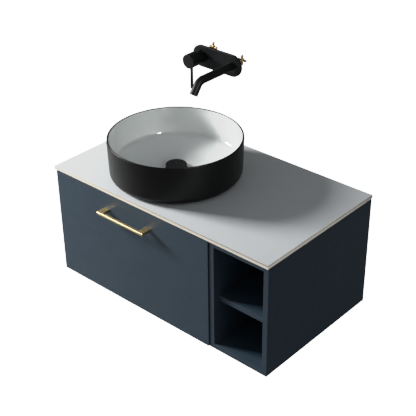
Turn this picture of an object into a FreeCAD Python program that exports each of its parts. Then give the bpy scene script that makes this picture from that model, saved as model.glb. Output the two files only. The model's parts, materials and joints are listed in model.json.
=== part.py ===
import FreeCAD, Part
import math
import os

# A wall-hung washstand: a 600 mm drawer unit and a 200 mm open shelf unit under one thin top,
# with a round vessel basin, its waste and trap, and a two-part tap on the wall above it.
#
# Frame: X runs along the front to the right, Y into the wall, Z up, all in millimetres.
# The origin is the middle of the four wall-screw holes of the two hanger plates, on the
# face of the wall. The drawer unit's centre line is X = 0, and the room is at negative Y.

V = FreeCAD.Vector
RIGHT, INWARD, UP = V(1, 0, 0), V(0, 1, 0), V(0, 0, 1)

# ---- cabinets -------------------------------------------------------------------------
main_width = 600.0           # drawer unit
side_width = 200.0           # open shelf unit on its right
unit_height = 350.0
unit_depth = 460.0           # wall to the drawer's face
board = 16.0                 # carcass boards
edge_round = 0.6             # eased edges of every board
hanger_drop = 60.0           # top of the units down to the middle of the hanger screws
front_rail_depth = 80.0      # flat stretcher at the front of the top
hanging_rail_height = 100.0  # upright board that the hangers pull on
hanging_rail_gap = 20.0      # wall to the hanging rail
lower_rail_height = 70.0
shelf_height = 157.0         # inside floor of the shelf unit up to the top of the shelf board
shelf_set_back = 17.0        # its front edge, from the front of the shelf unit

# ---- drawer front ---------------------------------------------------------------------
front_board = 18.0
front_proud = 3.0            # drawer face stands in front of the shelf unit
front_cushion = 2.0          # gap held by the bumpers behind the front
front_top_gap = 6.0
front_side_gap = 2.0

# ---- drawer box and runners -----------------------------------------------------------
runner_space = 12.7          # each side, between the carcass and the drawer box
runner_length = 400.0
runner_height = 45.0
runner_steel = 1.2
runner_ball = 2.0            # gap that the balls run in
runner_setback = 2.0         # runner behind the carcass's front edge
drawer_board = 15.0
drawer_floor = 10.0
drawer_top_drop = 146.0      # top of the unit down to the drawer box, clear of the hangers
drawer_lift = 8.0            # drawer box above the unit's bottom board
drawer_length = 398.0
well_half_width = 90.0       # clear space for the trap, each side of the basin's centre
well_front_margin = 82.0     # clear space in front of the trap's centre

# ---- handle ---------------------------------------------------------------------------
handle_length = 182.0
handle_offset = -4.0         # its middle, from the middle of the drawer unit
handle_drop = 67.0           # top of the basin top down to the middle of the handle
handle_reach = 33.0          # out from the drawer's face
handle_section = 8.5         # height of the bar and its feet
handle_bar_depth = 8.0
handle_foot_width = 20.0
handle_round = 3.0           # front edges of the bar
handle_foot_round = 0.6

# ---- top ------------------------------------------------------------------------------
slab_thickness = 10.0
slab_side_overhang = 1.5
slab_front_overhang = 3.5
slab_bevel = 1.5
waste_hole_clearance = 2.05  # round the waste's barrel, through the top and the basin

# ---- basin ----------------------------------------------------------------------------
basin_radius = 195.5
basin_height = 120.0
basin_bed = 1.0              # sealant under the basin
basin_offset = 2.0           # its middle, from the middle of the drawer unit
basin_from_wall = 262.0
basin_rim = 5.5
basin_rim_flat = 0.2         # left between the rim's two roundings
basin_taper = 3.5            # the outside draws in this much towards the foot
basin_foot_round = 22.0
basin_inner_round = 15.0
basin_inner_taper = 3.0
basin_floor_edge = 33.0      # top of the floor above the basin's base, at its edge
basin_floor_middle = 17.5    # and at the waste
basin_ring_width = 18.0      # flat ring that the basin stands on
basin_hollow = 5.0           # underside inside that ring
basin_boss_radius = 44.0
sealant_inset = 3.0          # from both edges of the flat ring
near_edge = 0.1              # tolerance when an edge is picked by its place

# ---- waste ----------------------------------------------------------------------------
waste_radius = 20.95         # threaded barrel
waste_bore = 17.5
waste_length = 80.0
waste_flange_radius = 31.5
waste_flange = 3.0
gasket_thickness = 1.5
thread_clearance = 0.05
hub_radius = 12.0
hub_height = 12.0
hub_depth = 20.0             # below the basin's floor
spoke = 3.0
cartridge_radius = 9.0
cartridge_length = 34.0
stem_radius = 4.0
stem_length = 40.0
stem_clearance = 0.05
cap_radius = 31.5
cap_crown = 0.6              # the cap's middle, above its edge
cap_thickness = 4.0
cap_lift = 8.0               # open gap under the cap
locknut_flats = 54.0
locknut_height = 10.0
skirt_lap = 7.0              # its washer, beyond the hole
lower_gasket = 3.0
washer = 1.5

# ---- trap -----------------------------------------------------------------------------
trap_pipe_radius = 16.0
trap_pipe_wall = 1.5
pipe_flange = 3.0            # thickness of the flange under the waste
cup_round = 6.0
nut_lip = 5.0                # a nut's end, past the neck that it screws on
nut_start = 4.0              # a nut's other end, from the root of the neck
neck_gap = 0.2
trap_radius = 30.0
trap_wall = 2.5
trap_top = -32.0             # top of the bottle
trap_thread_end = -92.0      # lower end of the bottle
trap_cup_radius = 34.0
trap_cup_lap = 12.0          # the cup covers this much of the bottle
trap_bottom = -128.0
trap_outlet_height = -58.0
trap_neck = 16.0             # length of the threaded necks
trap_neck_wall = 4.0
trap_nut_wall = 5.0
trap_dip = 24.0              # inlet pipe's end above the bottom of the cup
pipe_clearance = 0.2
outlet_into_wall = 60.0
spigot_length = 40.0         # drawn-down end that pushes into the wall's seal
spigot_step = 0.2
wall_flange_radius = 34.0
wall_flange_depth = 7.0
wall_flange_rim = 1.5
wall_flange_neck = 4.0

# ---- hangers --------------------------------------------------------------------------
hanger_inset = 24.0          # from the carcass side in to the hanger's centre line
plate_width = 44.0
plate_height = 76.0
plate_steel = 2.0
plate_screw_spacing = 50.0
plate_screw_radius = 3.2
hook_width = 12.0
hook_steel = 3.0
hook_drop = 10.0
upstand_steel = 2.5
upstand_gap = 9.0            # wall plate's face to its upstand
upstand_height = 17.0
upstand_width = 26.0
hook_clearance = 1.5
housing_depth = 40.0
housing_wall = 6.0
hook_lift = 3.0              # room above the hook in the rail's slot
housing_height = 44.0

# ---- fasteners ------------------------------------------------------------------------
dowel_radius = 4.0
dowel_length = 30.0
dowel_in_face = 11.0         # part of a dowel inside the board it stands on
dowel_clearance = 0.05
dowel_inset = 20.0           # from a board's edge to the first dowel, on the front rail
rail_dowel_inset = 15.0
board_dowel_inset = 30.0
drawer_dowel_inset = 35.0
side_dowel_shares = (0.3, 0.7)
unit_screw_insets = (60.0, 110.0)   # from the carcass's front, and from the wall
unit_screw_drop = 45.0
unit_screw_rise = 40.0
runner_screw_shares = (0.12, 0.5, 0.88)
hole_spare = 1.0             # blind holes are deeper than what goes in them
unit_screw_radius = 2.5
unit_screw_length = 28.0
unit_screw_head = 5.0
small_screw_radius = 1.8
small_screw_length = 11.0
small_screw_head = 3.2
small_screw_head_height = 0.9
handle_screw_radius = 2.0
handle_screw_bite = 8.0      # thread inside the handle's foot
handle_screw_head = 4.5
handle_screw_head_height = 2.4
screw_clearance = 0.05
pin_radius = 2.5
pin_length = 16.0
pin_insets = (50.0, 60.0)     # from the front of the shelf unit, and from its back board
bumper_radius = 4.0
bumper_inset = 30.0
bumper_gap = 0.1             # between a bumper and the closed front

# ---- wall tap -------------------------------------------------------------------------
tap_height = 248.0           # above the top's surface
tap_spout_x = -6.0
tap_centres = 121.0          # spout to mixer
tap_plate_radius = 33.5
tap_plate_depth = 8.0
tap_plate_round = 1.5
spout_radius = 12.0
spout_wall = 2.0
spout_reach = 149.0          # wall to the corner of the bend
spout_bend = 30.0
spout_end_out = 26.0         # from that corner to the outlet
spout_end_down = 35.0
aerator_length = 8.0
aerator_holes = 6            # round a middle one
aerator_hole_radius = 1.6
aerator_ring_share = 0.6     # their circle, as a share of the aerator's radius
sleeve_radius = 20.5
sleeve_length = 27.5
sleeve_step = 3.0            # its neck through the plate is this much smaller
sleeve_neck_length = 7.0
sleeve_gap = 0.5             # between the sleeve and the turning handle
handle_cap_radius = 22.0
handle_cap_length = 30.0
handle_cap_round = 1.2
tap_cartridge_radius = 15.0
spindle_radius = 5.0
spindle_clearance = 0.05
lever_radius = 4.4
lever_from_front = 15.5      # handle's front face back to the lever
lever_length = 68.5
lever_bite = 10.0            # lever's end inside the handle
tap_body_back = 4.0          # wall's face to the front of the brass casting
tap_chamber_radius = 19.5
tap_chamber_depth = 22.0
tap_outlet_radius = 15.0
tap_outlet_depth = 11.0      # casting behind the spout, clear of the clamp nuts
tap_bridge_radius = 5.5
inlet_radius = 12.5
inlet_bore = 9.3
inlet_bore_depth = 14.0
inlet_spacing = 40.0         # hot to cold, either side of the mixer
inlet_drop = 36.0            # tap's height down to the inlets' ends
left_clamp_across = 96.0     # from the spout's centre line
left_clamp_up = 26.0         # from the tap's height
right_clamp_across = 16.0
right_clamp_up = 15.0
clamp_nut_depth = 20.0       # wall's face to the middle of a clamp nut
clamp_arm = 16.0
clamp_arm_radius = 3.0
clamp_tip_radius = 4.0
clamp_tip_round = 3.0
clamp_hub_radius = 6.0
clamp_hub_length = 8.0
stud_radius = 3.0
stud_in_plate = 6.0
stud_past_nut = 3.0

# ---- places that follow from the sizes above ------------------------------------------
waste_hole_radius = waste_radius + waste_hole_clearance
unit_top = hanger_drop
unit_bottom = unit_top - unit_height
main_left = -main_width / 2
main_right = main_width / 2
side_right = main_right + side_width
face_y = -unit_depth
carcass_front = face_y + front_board + front_cushion
shelf_front = face_y + front_proud
slab_top = unit_top + slab_thickness
rail_face = -hanging_rail_gap - board

drawer_low = unit_bottom + board + drawer_lift
drawer_high = unit_top - drawer_top_drop
drawer_outer = main_right - board - runner_space
drawer_inner = drawer_outer - drawer_board
drawer_front_y = face_y + front_board
drawer_back_y = drawer_front_y + drawer_length
runner_z = (drawer_low + drawer_high) / 2
runner_front = carcass_front + runner_setback
runner_back = runner_front + runner_length
well_left = basin_offset - well_half_width
well_right = basin_offset + well_half_width
well_front = -basin_from_wall - well_front_margin

handle_z = slab_top - handle_drop
handle_left = handle_offset - handle_length / 2
handle_right = handle_offset + handle_length / 2

basin_centre = V(basin_offset, -basin_from_wall, 0)
basin_base = slab_top + basin_bed
basin_floor = basin_base + basin_floor_middle
foot_radius = basin_radius - basin_taper - basin_foot_round
waste_end = basin_floor - waste_length
flange_seat = basin_floor - waste_flange - gasket_thickness
cap_under = basin_floor + cap_lift
trap_bore = trap_pipe_radius + pipe_clearance
trap_neck_radius = trap_bore + trap_neck_wall

hanger_x = main_right - board - hanger_inset
upstand_low = -upstand_height / 2
upstand_high = upstand_height / 2
hook_high = upstand_high + hook_steel

tap_z = slab_top + tap_height
tap_mixer_x = tap_spout_x - tap_centres
spout_end = V(tap_spout_x, -spout_reach - spout_end_out, tap_z - spout_end_down)
cap_back = -tap_plate_depth - sleeve_length - sleeve_gap
cap_front = cap_back - handle_cap_length
clamp_centres = (V(tap_spout_x - left_clamp_across, 0, tap_z + left_clamp_up),
                 V(tap_spout_x + right_clamp_across, 0, tap_z + right_clamp_up))


# ---- helpers --------------------------------------------------------------------------
def block(xs, ys, zs):
    """A plain box between two limits on each axis."""
    return Part.makeBox(xs[1] - xs[0], ys[1] - ys[0], zs[1] - zs[0], V(xs[0], ys[0], zs[0]))


def panel(xs, ys, zs):
    """A board: a box with every edge slightly rounded."""
    box = block(xs, ys, zs)
    return box.makeFillet(edge_round, box.Edges)


def rod(radius, start, end):
    """A round bar between two points."""
    along = end - start
    return Part.makeCylinder(radius, along.Length, start, along)


def tube(outer, inner, start, end):
    """A round bar with a bore right through it."""
    return rod(outer, start, end).cut(rod(inner, start, end))


def fused(shapes):
    """One clean solid from overlapping shapes."""
    return shapes[0].multiFuse(shapes[1:]).removeSplitter()


def without(shape, cutters):
    """The shape with every cutter taken out of it."""
    return shape.cut(Part.makeCompound(cutters))


def corner_arc(before, corner, after, radius):
    """The arc that rounds a corner, as its first, middle and last points."""
    back = (before - corner).normalize()
    ahead = (after - corner).normalize()
    half_angle = back.getAngle(ahead) / 2
    reach = radius / math.tan(half_angle)
    inward = (back + ahead).normalize()
    middle = corner + inward * (radius / math.sin(half_angle) - radius)
    return corner + back * reach, middle, corner + ahead * reach


def outline(corners):
    """A closed outline in the XZ plane from corners given as (x, z, rounding radius)."""
    points = [V(x, 0, z) for x, z, _ in corners]
    edges = []
    joints = []
    for index, (_, _, radius) in enumerate(corners):
        corner = points[index]
        if radius == 0:
            joints.append((corner, corner))
            continue
        following = points[(index + 1) % len(points)]
        first, middle, last = corner_arc(points[index - 1], corner, following, radius)
        edges.append(Part.Arc(first, middle, last).toShape())
        joints.append((first, last))
    for index, (_, leave) in enumerate(joints):
        arrive = joints[(index + 1) % len(joints)][0]
        if leave.distanceToPoint(arrive) > 1e-6:
            edges.append(Part.makeLine(leave, arrive))
    return Part.Face(Part.Wire(Part.__sortEdges__(edges)))


def turned(corners, centre, axis=UP):
    """A lathe-turned piece: corners are (radius, height, rounding), height along the axis."""
    shape = outline(corners).revolve(V(0, 0, 0), UP, 360)
    shape.Placement = FreeCAD.Placement(centre, FreeCAD.Rotation(UP, axis))
    return shape


def screw(seat, direction, radius, length, head_radius, head_height):
    """A screw with its head's underside at the seat and its thread along the direction."""
    shank = rod(radius, seat, seat + direction * length)
    head = rod(head_radius, seat - direction * head_height, seat)
    return fused([shank, head])


def mirrored(shape):
    """The same piece on the other side of the drawer unit's centre line."""
    return shape.mirror(V(0, 0, 0), RIGHT)


def export(node, *solids):
    """Write one node from one or more separate solids."""
    shape = solids[0] if len(solids) == 1 else Part.makeCompound(solids)
    shape.exportStep("parts/" + node + ".step")


# ---- dowels and screws that hold the boards -------------------------------------------
def dowel_places():
    """Every carcass dowel, as the point in its joint plane and the direction into the end grain."""
    main_rows = [(carcass_front + inset, unit_top - board / 2)
                 for inset in (dowel_inset, front_rail_depth - dowel_inset)]
    main_rows += [(rail_face + board / 2, unit_top - inset)
                  for inset in (rail_dowel_inset, hanging_rail_height - rail_dowel_inset)]
    main_rows += [(-board / 2, unit_bottom + board + inset)
                  for inset in (rail_dowel_inset, lower_rail_height - rail_dowel_inset)]
    main_rows += [(y, unit_bottom + board / 2)
                  for y in (carcass_front + board_dowel_inset, carcass_front / 2, -2 * board_dowel_inset)]
    side_rows = []
    for z in (unit_top - board / 2, unit_bottom + board / 2):
        side_rows += [(y, z)
                      for y in (shelf_front + board_dowel_inset, shelf_front / 2, -2 * board_dowel_inset)]
    side_rows += [(-board / 2, unit_bottom + unit_height * share) for share in side_dowel_shares]
    places = []
    for y, z in main_rows:
        places.append((V(main_left + board, y, z), RIGHT))
        places.append((V(main_right - board, y, z), -RIGHT))
    for y, z in side_rows:
        places.append((V(main_right + board, y, z), RIGHT))
        places.append((V(side_right - board, y, z), -RIGHT))
    return places


def drawer_dowel_places():
    """Dowels from the drawer's sides into its front, and into the ends of its back boards."""
    places = []
    middle = drawer_outer - drawer_board / 2
    back = drawer_back_y - drawer_board / 2
    for z in (drawer_low + drawer_dowel_inset, drawer_high - drawer_dowel_inset):
        for side in (-1, 1):
            places.append((V(side * middle, drawer_front_y, z), INWARD))
            places.append((V(side * drawer_inner, back, z), RIGHT * -side))
    return places


def dowels(places, radius, spare):
    """Cylinders at the dowel places: the dowels, or their holes with a clearance."""
    shapes = []
    for point, direction in places:
        start = point - direction * (dowel_in_face + spare)
        end = point + direction * (dowel_length - dowel_in_face + spare)
        shapes.append(rod(radius, start, end))
    return shapes


def unit_screw_seats():
    """Screws from inside the drawer unit into the shelf unit's left board."""
    inside = main_right - board
    return [V(inside, y, z) for y in (carcass_front + unit_screw_insets[0], -unit_screw_insets[1])
            for z in (unit_top - unit_screw_drop, unit_bottom + unit_screw_rise)]


def runner_screw_places():
    """Along the runner, a share of its length from the front."""
    return [runner_front + runner_length * share for share in runner_screw_shares]


def cabinet_screw_list():
    """Seat, direction and sizes of every screw in the carcass."""
    big = (unit_screw_radius, unit_screw_length, unit_screw_head, small_screw_head_height)
    small = (small_screw_radius, small_screw_length, small_screw_head, small_screw_head_height)
    listed = [(seat, RIGHT) + big for seat in unit_screw_seats()]
    web = main_right - board - runner_steel
    for y in runner_screw_places():
        listed.append((V(web, y, runner_z), RIGHT) + small)
        listed.append((V(-web, y, runner_z), -RIGHT) + small)
    return listed


def drawer_screw_list():
    """Seat, direction and sizes of every screw in the drawer."""
    small = (small_screw_radius, small_screw_length, small_screw_head, small_screw_head_height)
    long_screw = (handle_screw_radius, front_board + handle_screw_bite)
    heads = (handle_screw_head, handle_screw_head_height)
    listed = []
    web = drawer_outer + runner_steel
    for y in runner_screw_places():
        listed.append((V(web, y, runner_z), -RIGHT) + small)
        listed.append((V(-web, y, runner_z), RIGHT) + small)
    for x in (handle_left + handle_foot_width / 2, handle_right - handle_foot_width / 2):
        listed.append((V(x, drawer_front_y, handle_z), -INWARD) + long_screw + heads)
    return listed


def screw_holes(listed):
    """Holes for the listed screws, a clearance wider and deeper than their threads."""
    holes = []
    for seat, direction, radius, length, _, _ in listed:
        end = seat + direction * (length + hole_spare)
        holes.append(rod(radius + screw_clearance, seat, end))
    return holes


# ---- drawer unit and shelf unit -------------------------------------------------------
def hook_slot(side):
    """The slot in the hanging rail that one hanger's hook passes through."""
    xs = sorted([side * (hanger_x - hook_width / 2 - 2), side * (hanger_x + hook_width / 2 + 2)])
    return block(xs, (rail_face - 1, -hanging_rail_gap + 1), (upstand_low, hook_high + hook_lift))


def main_boards():
    """The drawer unit's boards, before boring."""
    inside = (main_left + board, main_right - board)
    height = (unit_bottom, unit_top)
    hanging = panel(inside, (rail_face, -hanging_rail_gap), (unit_top - hanging_rail_height, unit_top))
    lower_top = unit_bottom + board + lower_rail_height
    return {
        "drawer_unit_left_side": panel((main_left, main_left + board), (carcass_front, 0), height),
        "drawer_unit_right_side": panel((main_right - board, main_right), (carcass_front, 0), height),
        "drawer_unit_bottom": panel(inside, (carcass_front, 0), (unit_bottom, unit_bottom + board)),
        "drawer_unit_front_rail": panel(
            inside, (carcass_front, carcass_front + front_rail_depth), (unit_top - board, unit_top)),
        "drawer_unit_hanging_rail": without(hanging, [hook_slot(-1), hook_slot(1)]),
        "drawer_unit_lower_rail": panel(inside, (-board, 0), (unit_bottom + board, lower_top)),
    }


def shelf_boards():
    """The open shelf unit's boards, before boring."""
    inside = (main_right + board, side_right - board)
    depth = (shelf_front, 0)
    height = (unit_bottom, unit_top)
    shelf_top = unit_bottom + board + shelf_height
    return {
        "shelf_unit_left_side": panel((main_right, main_right + board), depth, height),
        "shelf_unit_right_side": panel((side_right - board, side_right), depth, height),
        "shelf_unit_top": panel(inside, depth, (unit_top - board, unit_top)),
        "shelf_unit_bottom": panel(inside, depth, (unit_bottom, unit_bottom + board)),
        "shelf_unit_back": panel(inside, (-board, 0), (unit_bottom + board, unit_top - board)),
        "shelf_board": panel(inside, (shelf_front + shelf_set_back, -board), (shelf_top - board, shelf_top)),
    }


def shelf_pin_rods(radius, spare):
    """The four pins under the shelf board, or their holes."""
    shapes = []
    z = unit_bottom + board + shelf_height - board - pin_radius - pipe_clearance
    for y in (shelf_front + pin_insets[0], -board - pin_insets[1]):
        for wall, direction in ((main_right + board, RIGHT), (side_right - board, -RIGHT)):
            start = V(wall, y, z) - direction * (pin_length / 2 + spare)
            end = V(wall, y, z) + direction * (pin_length / 2)
            shapes.append(rod(radius, start, end))
    return shapes


def bumpers():
    """Soft dots on the carcass's front edges that the drawer front closes against."""
    thickness = front_cushion - bumper_gap
    shapes = []
    for x in (main_left + board / 2, main_right - board / 2):
        for z in (unit_top - bumper_inset, unit_bottom + bumper_inset):
            back = V(x, carcass_front, z)
            shapes.append(rod(bumper_radius, back - INWARD * thickness, back))
    return shapes


# ---- hangers --------------------------------------------------------------------------
def wall_plate():
    """The right-hand wall plate: a screwed plate with an upstand for the hook."""
    plate = panel((hanger_x - plate_width / 2, hanger_x + plate_width / 2),
                  (-plate_steel, 0), (-plate_height / 2, plate_height / 2))
    across = (hanger_x - upstand_width / 2, hanger_x + upstand_width / 2)
    face = -plate_steel - upstand_gap
    ledge = block(across, (face, -plate_steel), (upstand_low, upstand_low + upstand_steel))
    upstand = block(across, (face, face + upstand_steel), (upstand_low, upstand_high))
    holes = []
    for z in (-plate_screw_spacing / 2, plate_screw_spacing / 2):
        holes.append(rod(plate_screw_radius, V(hanger_x, -plate_steel, z), V(hanger_x, 0, z)))
    return without(fused([plate, ledge, upstand]), holes)


def hanger_hook():
    """The right-hand hook: an arm through the rail with its tip behind the upstand."""
    across = (hanger_x - hook_width / 2, hanger_x + hook_width / 2)
    tip_front = -plate_steel - upstand_gap + upstand_steel + hook_clearance
    tip_back = tip_front + hook_steel
    arm = block(across, (rail_face - housing_depth + housing_wall, tip_back), (upstand_high, hook_high))
    tip = block(across, (tip_front, tip_back), (upstand_high - hook_drop, hook_high))
    return fused([arm, tip])


def hanger_housing():
    """The right-hand hanger's housing, against the carcass side and the hanging rail."""
    box = panel((hanger_x - hook_width, main_right - board),
                (rail_face - housing_depth, rail_face),
                (hook_high - housing_height, hook_high + 2 * housing_wall))
    pocket = block((hanger_x - hook_width / 2, hanger_x + hook_width / 2),
                   (rail_face - housing_depth + housing_wall, rail_face), (upstand_high, hook_high))
    return box.cut(pocket)


# ---- drawer ---------------------------------------------------------------------------
def drawer_front():
    """The drawer's face, with the rounding of a lacquered edge."""
    return panel((main_left + front_side_gap, main_right - front_side_gap),
                 (face_y, drawer_front_y), (unit_bottom, unit_top - front_top_gap))


def drawer_side():
    """The drawer's right side board."""
    return panel((drawer_inner, drawer_outer), (drawer_front_y, drawer_back_y), (drawer_low, drawer_high))


def drawer_bottom():
    """The drawer's floor, notched from the back for the trap."""
    floor = panel((-drawer_inner, drawer_inner), (drawer_front_y, drawer_back_y),
                  (drawer_low, drawer_low + drawer_floor))
    notch = block((well_left, well_right), (well_front, drawer_back_y + 1),
                  (drawer_low - 1, drawer_low + drawer_floor + 1))
    return floor.cut(notch)


def drawer_backs():
    """The back boards on both sides of the trap's well."""
    ys = (drawer_back_y - drawer_board, drawer_back_y)
    zs = (drawer_low + drawer_floor, drawer_high)
    return (panel((-drawer_inner, well_left - drawer_board), ys, zs),
            panel((well_right + drawer_board, drawer_inner), ys, zs))


def drawer_well():
    """The three boards round the trap's well."""
    zs = (drawer_low + drawer_floor, drawer_high)
    ys = (well_front - drawer_board, drawer_back_y)
    return (panel((well_left - drawer_board, well_left), ys, zs),
            panel((well_right, well_right + drawer_board), ys, zs),
            panel((well_left, well_right), (well_front - drawer_board, well_front), zs))


def handle_bar():
    """The handle's long bar."""
    front = face_y - handle_reach
    box = block((handle_left, handle_right), (front, front + handle_bar_depth),
                (handle_z - handle_section / 2, handle_z + handle_section / 2))
    edges = [edge for edge in box.Edges if edge.BoundBox.YMax < front + handle_foot_round]
    return box.makeFillet(handle_round, edges)


def handle_feet():
    """The handle's two feet, from the bar back to the drawer's face."""
    feet = []
    for start in (handle_left, handle_right - handle_foot_width):
        foot = block((start, start + handle_foot_width),
                     (face_y - handle_reach + handle_bar_depth, face_y),
                     (handle_z - handle_section / 2, handle_z + handle_section / 2))
        feet.append(foot.makeFillet(handle_foot_round, foot.Edges))
    return feet


def runner_channel(web, reach, half_height):
    """A right-hand runner member: a web with two flanges, across X from the carcass board."""
    wall = main_right - board
    length = (runner_front, runner_back)
    webs = sorted([wall - web, wall - web - runner_steel])
    flanges = sorted([wall - web, wall - reach])
    return fused([
        block(webs, length, (runner_z - half_height, runner_z + half_height)),
        block(flanges, length, (runner_z + half_height - runner_steel, runner_z + half_height)),
        block(flanges, length, (runner_z - half_height, runner_z - half_height + runner_steel)),
    ])


def runner_members():
    """The right-hand runner: the cabinet member, the middle member and the drawer member."""
    outer_half = runner_height / 2
    middle_half = outer_half - runner_steel - runner_ball
    inner_half = middle_half - runner_steel - runner_ball
    middle_web = 2 * runner_steel
    cabinet = runner_channel(0, runner_space - 2 * runner_steel, outer_half)
    middle = runner_channel(middle_web, runner_space - 2 * runner_steel, middle_half)
    drawer = runner_channel(runner_space - runner_steel, middle_web + 2 * runner_steel, inner_half)
    return cabinet, middle, drawer


# ---- top, basin and waste -------------------------------------------------------------
def countertop():
    """The thin top, with a bevelled upper edge and the waste's hole."""
    slab = block((main_left - slab_side_overhang, side_right + slab_side_overhang),
                 (face_y - slab_front_overhang, 0), (unit_top, slab_top))
    upper = [edge for edge in slab.Edges
             if edge.BoundBox.ZMin > slab_top - near_edge and edge.BoundBox.YMin < -near_edge]
    slab = slab.makeChamfer(slab_bevel, upper)
    low = basin_centre + UP * unit_top
    return slab.cut(rod(waste_hole_radius, low, low + UP * slab_thickness))


def basin():
    """The vessel basin, turned about its own upright axis."""
    inner_rim = basin_radius - basin_rim
    inner_foot = inner_rim - basin_inner_taper
    ring_inner = foot_radius - basin_ring_width
    recess = waste_flange_radius + 1
    seat = basin_floor_middle - waste_flange - gasket_thickness
    lip = basin_rim / 2 - basin_rim_flat / 2
    return turned([
        (waste_hole_radius, 0, 0),
        (basin_boss_radius, 0, 1),
        (basin_boss_radius + basin_hollow, basin_hollow, 2),
        (ring_inner - basin_hollow, basin_hollow, 2),
        (ring_inner, 0, 1),
        (basin_radius - basin_taper, 0, basin_foot_round),
        (basin_radius, basin_height, lip),
        (inner_rim, basin_height, lip),
        (inner_foot, basin_floor_edge, basin_inner_round),
        (recess, basin_floor_middle, 1),
        (recess, seat, 0),
        (waste_hole_radius, seat, 0),
    ], basin_centre + UP * basin_base)


def basin_sealant():
    """The ring of sealant that the basin is bedded on."""
    low = basin_centre + UP * slab_top
    inner = foot_radius - basin_ring_width + sealant_inset
    return tube(foot_radius - sealant_inset, inner, low, low + UP * basin_bed)


def waste_body():
    """The waste: flange, threaded barrel, and a hub on four spokes for the pop-up cartridge."""
    top = basin_centre + UP * basin_floor
    flange = turned([
        (waste_bore, -waste_flange, 0),
        (waste_flange_radius, -waste_flange, 0),
        (waste_flange_radius, 0, 1),
        (waste_bore, 0, 1),
    ], top)
    barrel = tube(waste_radius, waste_bore, top - UP * waste_length, top - UP)
    hub_top = top - UP * hub_depth
    hub = rod(hub_radius, hub_top - UP * hub_height, hub_top)
    pieces = [flange, barrel, hub]
    for turn in range(4):
        arm = block((0, waste_bore + 1), (-spoke / 2, spoke / 2), (-hub_height, 0))
        arm.rotate(V(0, 0, 0), UP, 90 * turn + 45)
        arm.translate(hub_top)
        pieces.append(arm)
    seat = rod(cartridge_radius + screw_clearance, hub_top - UP * hub_height, hub_top)
    return fused(pieces).cut(seat)


def click_cartridge():
    """The pop-up's push-push cartridge, with a blind bore for the cap's stem."""
    top = basin_centre + UP * (basin_floor - hub_depth + hub_height / 2)
    body = rod(cartridge_radius, top - UP * cartridge_length, top)
    bore = rod(stem_radius + stem_clearance, top - UP * (cartridge_length - spoke), top)
    return body.cut(bore)


def popup_cap():
    """The mushroom cap over the waste, with its stem."""
    under = basin_centre + UP * cap_under
    cap = turned([
        (0, 0, 0),
        (cap_radius - 1, 0, cap_crown),
        (cap_radius, cap_thickness, 2),
        (0, cap_thickness + cap_crown, 0),
    ], under)
    stem = rod(stem_radius, under - UP * stem_length, under + UP)
    return fused([cap, stem])


def waste_gaskets():
    """The seal under the waste's flange, and the thick one under the top."""
    upper = basin_centre + UP * flange_seat
    lower = basin_centre + UP * (unit_top - lower_gasket)
    bore = waste_radius + thread_clearance
    return (tube(waste_flange_radius - 1, bore, upper, upper + UP * gasket_thickness),
            tube(waste_hole_radius + skirt_lap + 2, bore, lower, lower + UP * lower_gasket))


def waste_locknut():
    """The hexagon nut under the top, with its washer as one pressed piece."""
    top = basin_centre + UP * (unit_top - lower_gasket)
    corner = locknut_flats / math.sqrt(3)
    points = [V(corner * math.cos(math.radians(a)), corner * math.sin(math.radians(a)), 0)
              for a in range(0, 361, 60)]
    nut = Part.Face(Part.makePolygon(points)).extrude(UP * locknut_height)
    nut.translate(top - UP * (locknut_height + washer))
    skirt = rod(waste_hole_radius + skirt_lap, top - UP * washer, top)
    bore = rod(waste_radius + thread_clearance, top - UP * (locknut_height + washer), top)
    return fused([nut, skirt]).cut(bore)


# ---- trap -----------------------------------------------------------------------------
def trap_inlet_pipe():
    """The dip pipe from the waste down into the trap, with a flange under the waste."""
    top = basin_centre + UP * waste_end
    end = basin_centre + UP * (trap_bottom + trap_dip)
    flange = tube(waste_radius, trap_pipe_radius - trap_pipe_wall, top - UP * pipe_flange, top)
    pipe = tube(trap_pipe_radius, trap_pipe_radius - trap_pipe_wall, end, top - UP)
    return fused([flange, pipe])


def trap_body():
    """The bottle: an open shell with a neck on top and a branch towards the wall."""
    top = basin_centre + UP * trap_top
    end = basin_centre + UP * trap_thread_end
    axis = basin_centre + UP * trap_outlet_height
    branch_end = axis + INWARD * (trap_radius + trap_neck)
    shell = fused([
        rod(trap_radius, end, top),
        rod(trap_neck_radius, top - UP, top + UP * trap_neck),
        rod(trap_neck_radius, axis, branch_end),
    ])
    hollow = [
        rod(trap_radius - trap_wall, end, top - UP * trap_neck_wall),
        rod(trap_bore, top - UP * (trap_neck_wall + 1), top + UP * trap_neck),
        rod(trap_bore, axis, branch_end),
    ]
    return without(shell, hollow)


def trap_cup():
    """The cup that screws on to the lower end of the bottle."""
    rim = trap_thread_end + trap_cup_lap
    inner = trap_radius + thread_clearance
    return turned([
        (0, trap_bottom, 0),
        (trap_cup_radius, trap_bottom, cup_round),
        (trap_cup_radius, rim, 1),
        (inner, rim, 0),
        (inner, trap_thread_end - 0.5, 0),
        (trap_radius - trap_wall, trap_thread_end - 0.5, 0),
        (trap_radius - trap_wall, trap_bottom + trap_wall, cup_round / 2),
        (0, trap_bottom + trap_wall, 0),
    ], basin_centre)


def trap_outlet_pipe():
    """The pipe from the trap's branch through the wall, with a slightly smaller end."""
    start = basin_centre + UP * trap_outlet_height + INWARD * (trap_radius + 2)
    end = V(basin_offset, outlet_into_wall, trap_outlet_height)
    step = end - INWARD * spigot_length
    outside = fused([rod(trap_pipe_radius, start, step), rod(trap_pipe_radius - spigot_step, start, end)])
    return outside.cut(rod(trap_pipe_radius - trap_pipe_wall, start, end))


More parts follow.
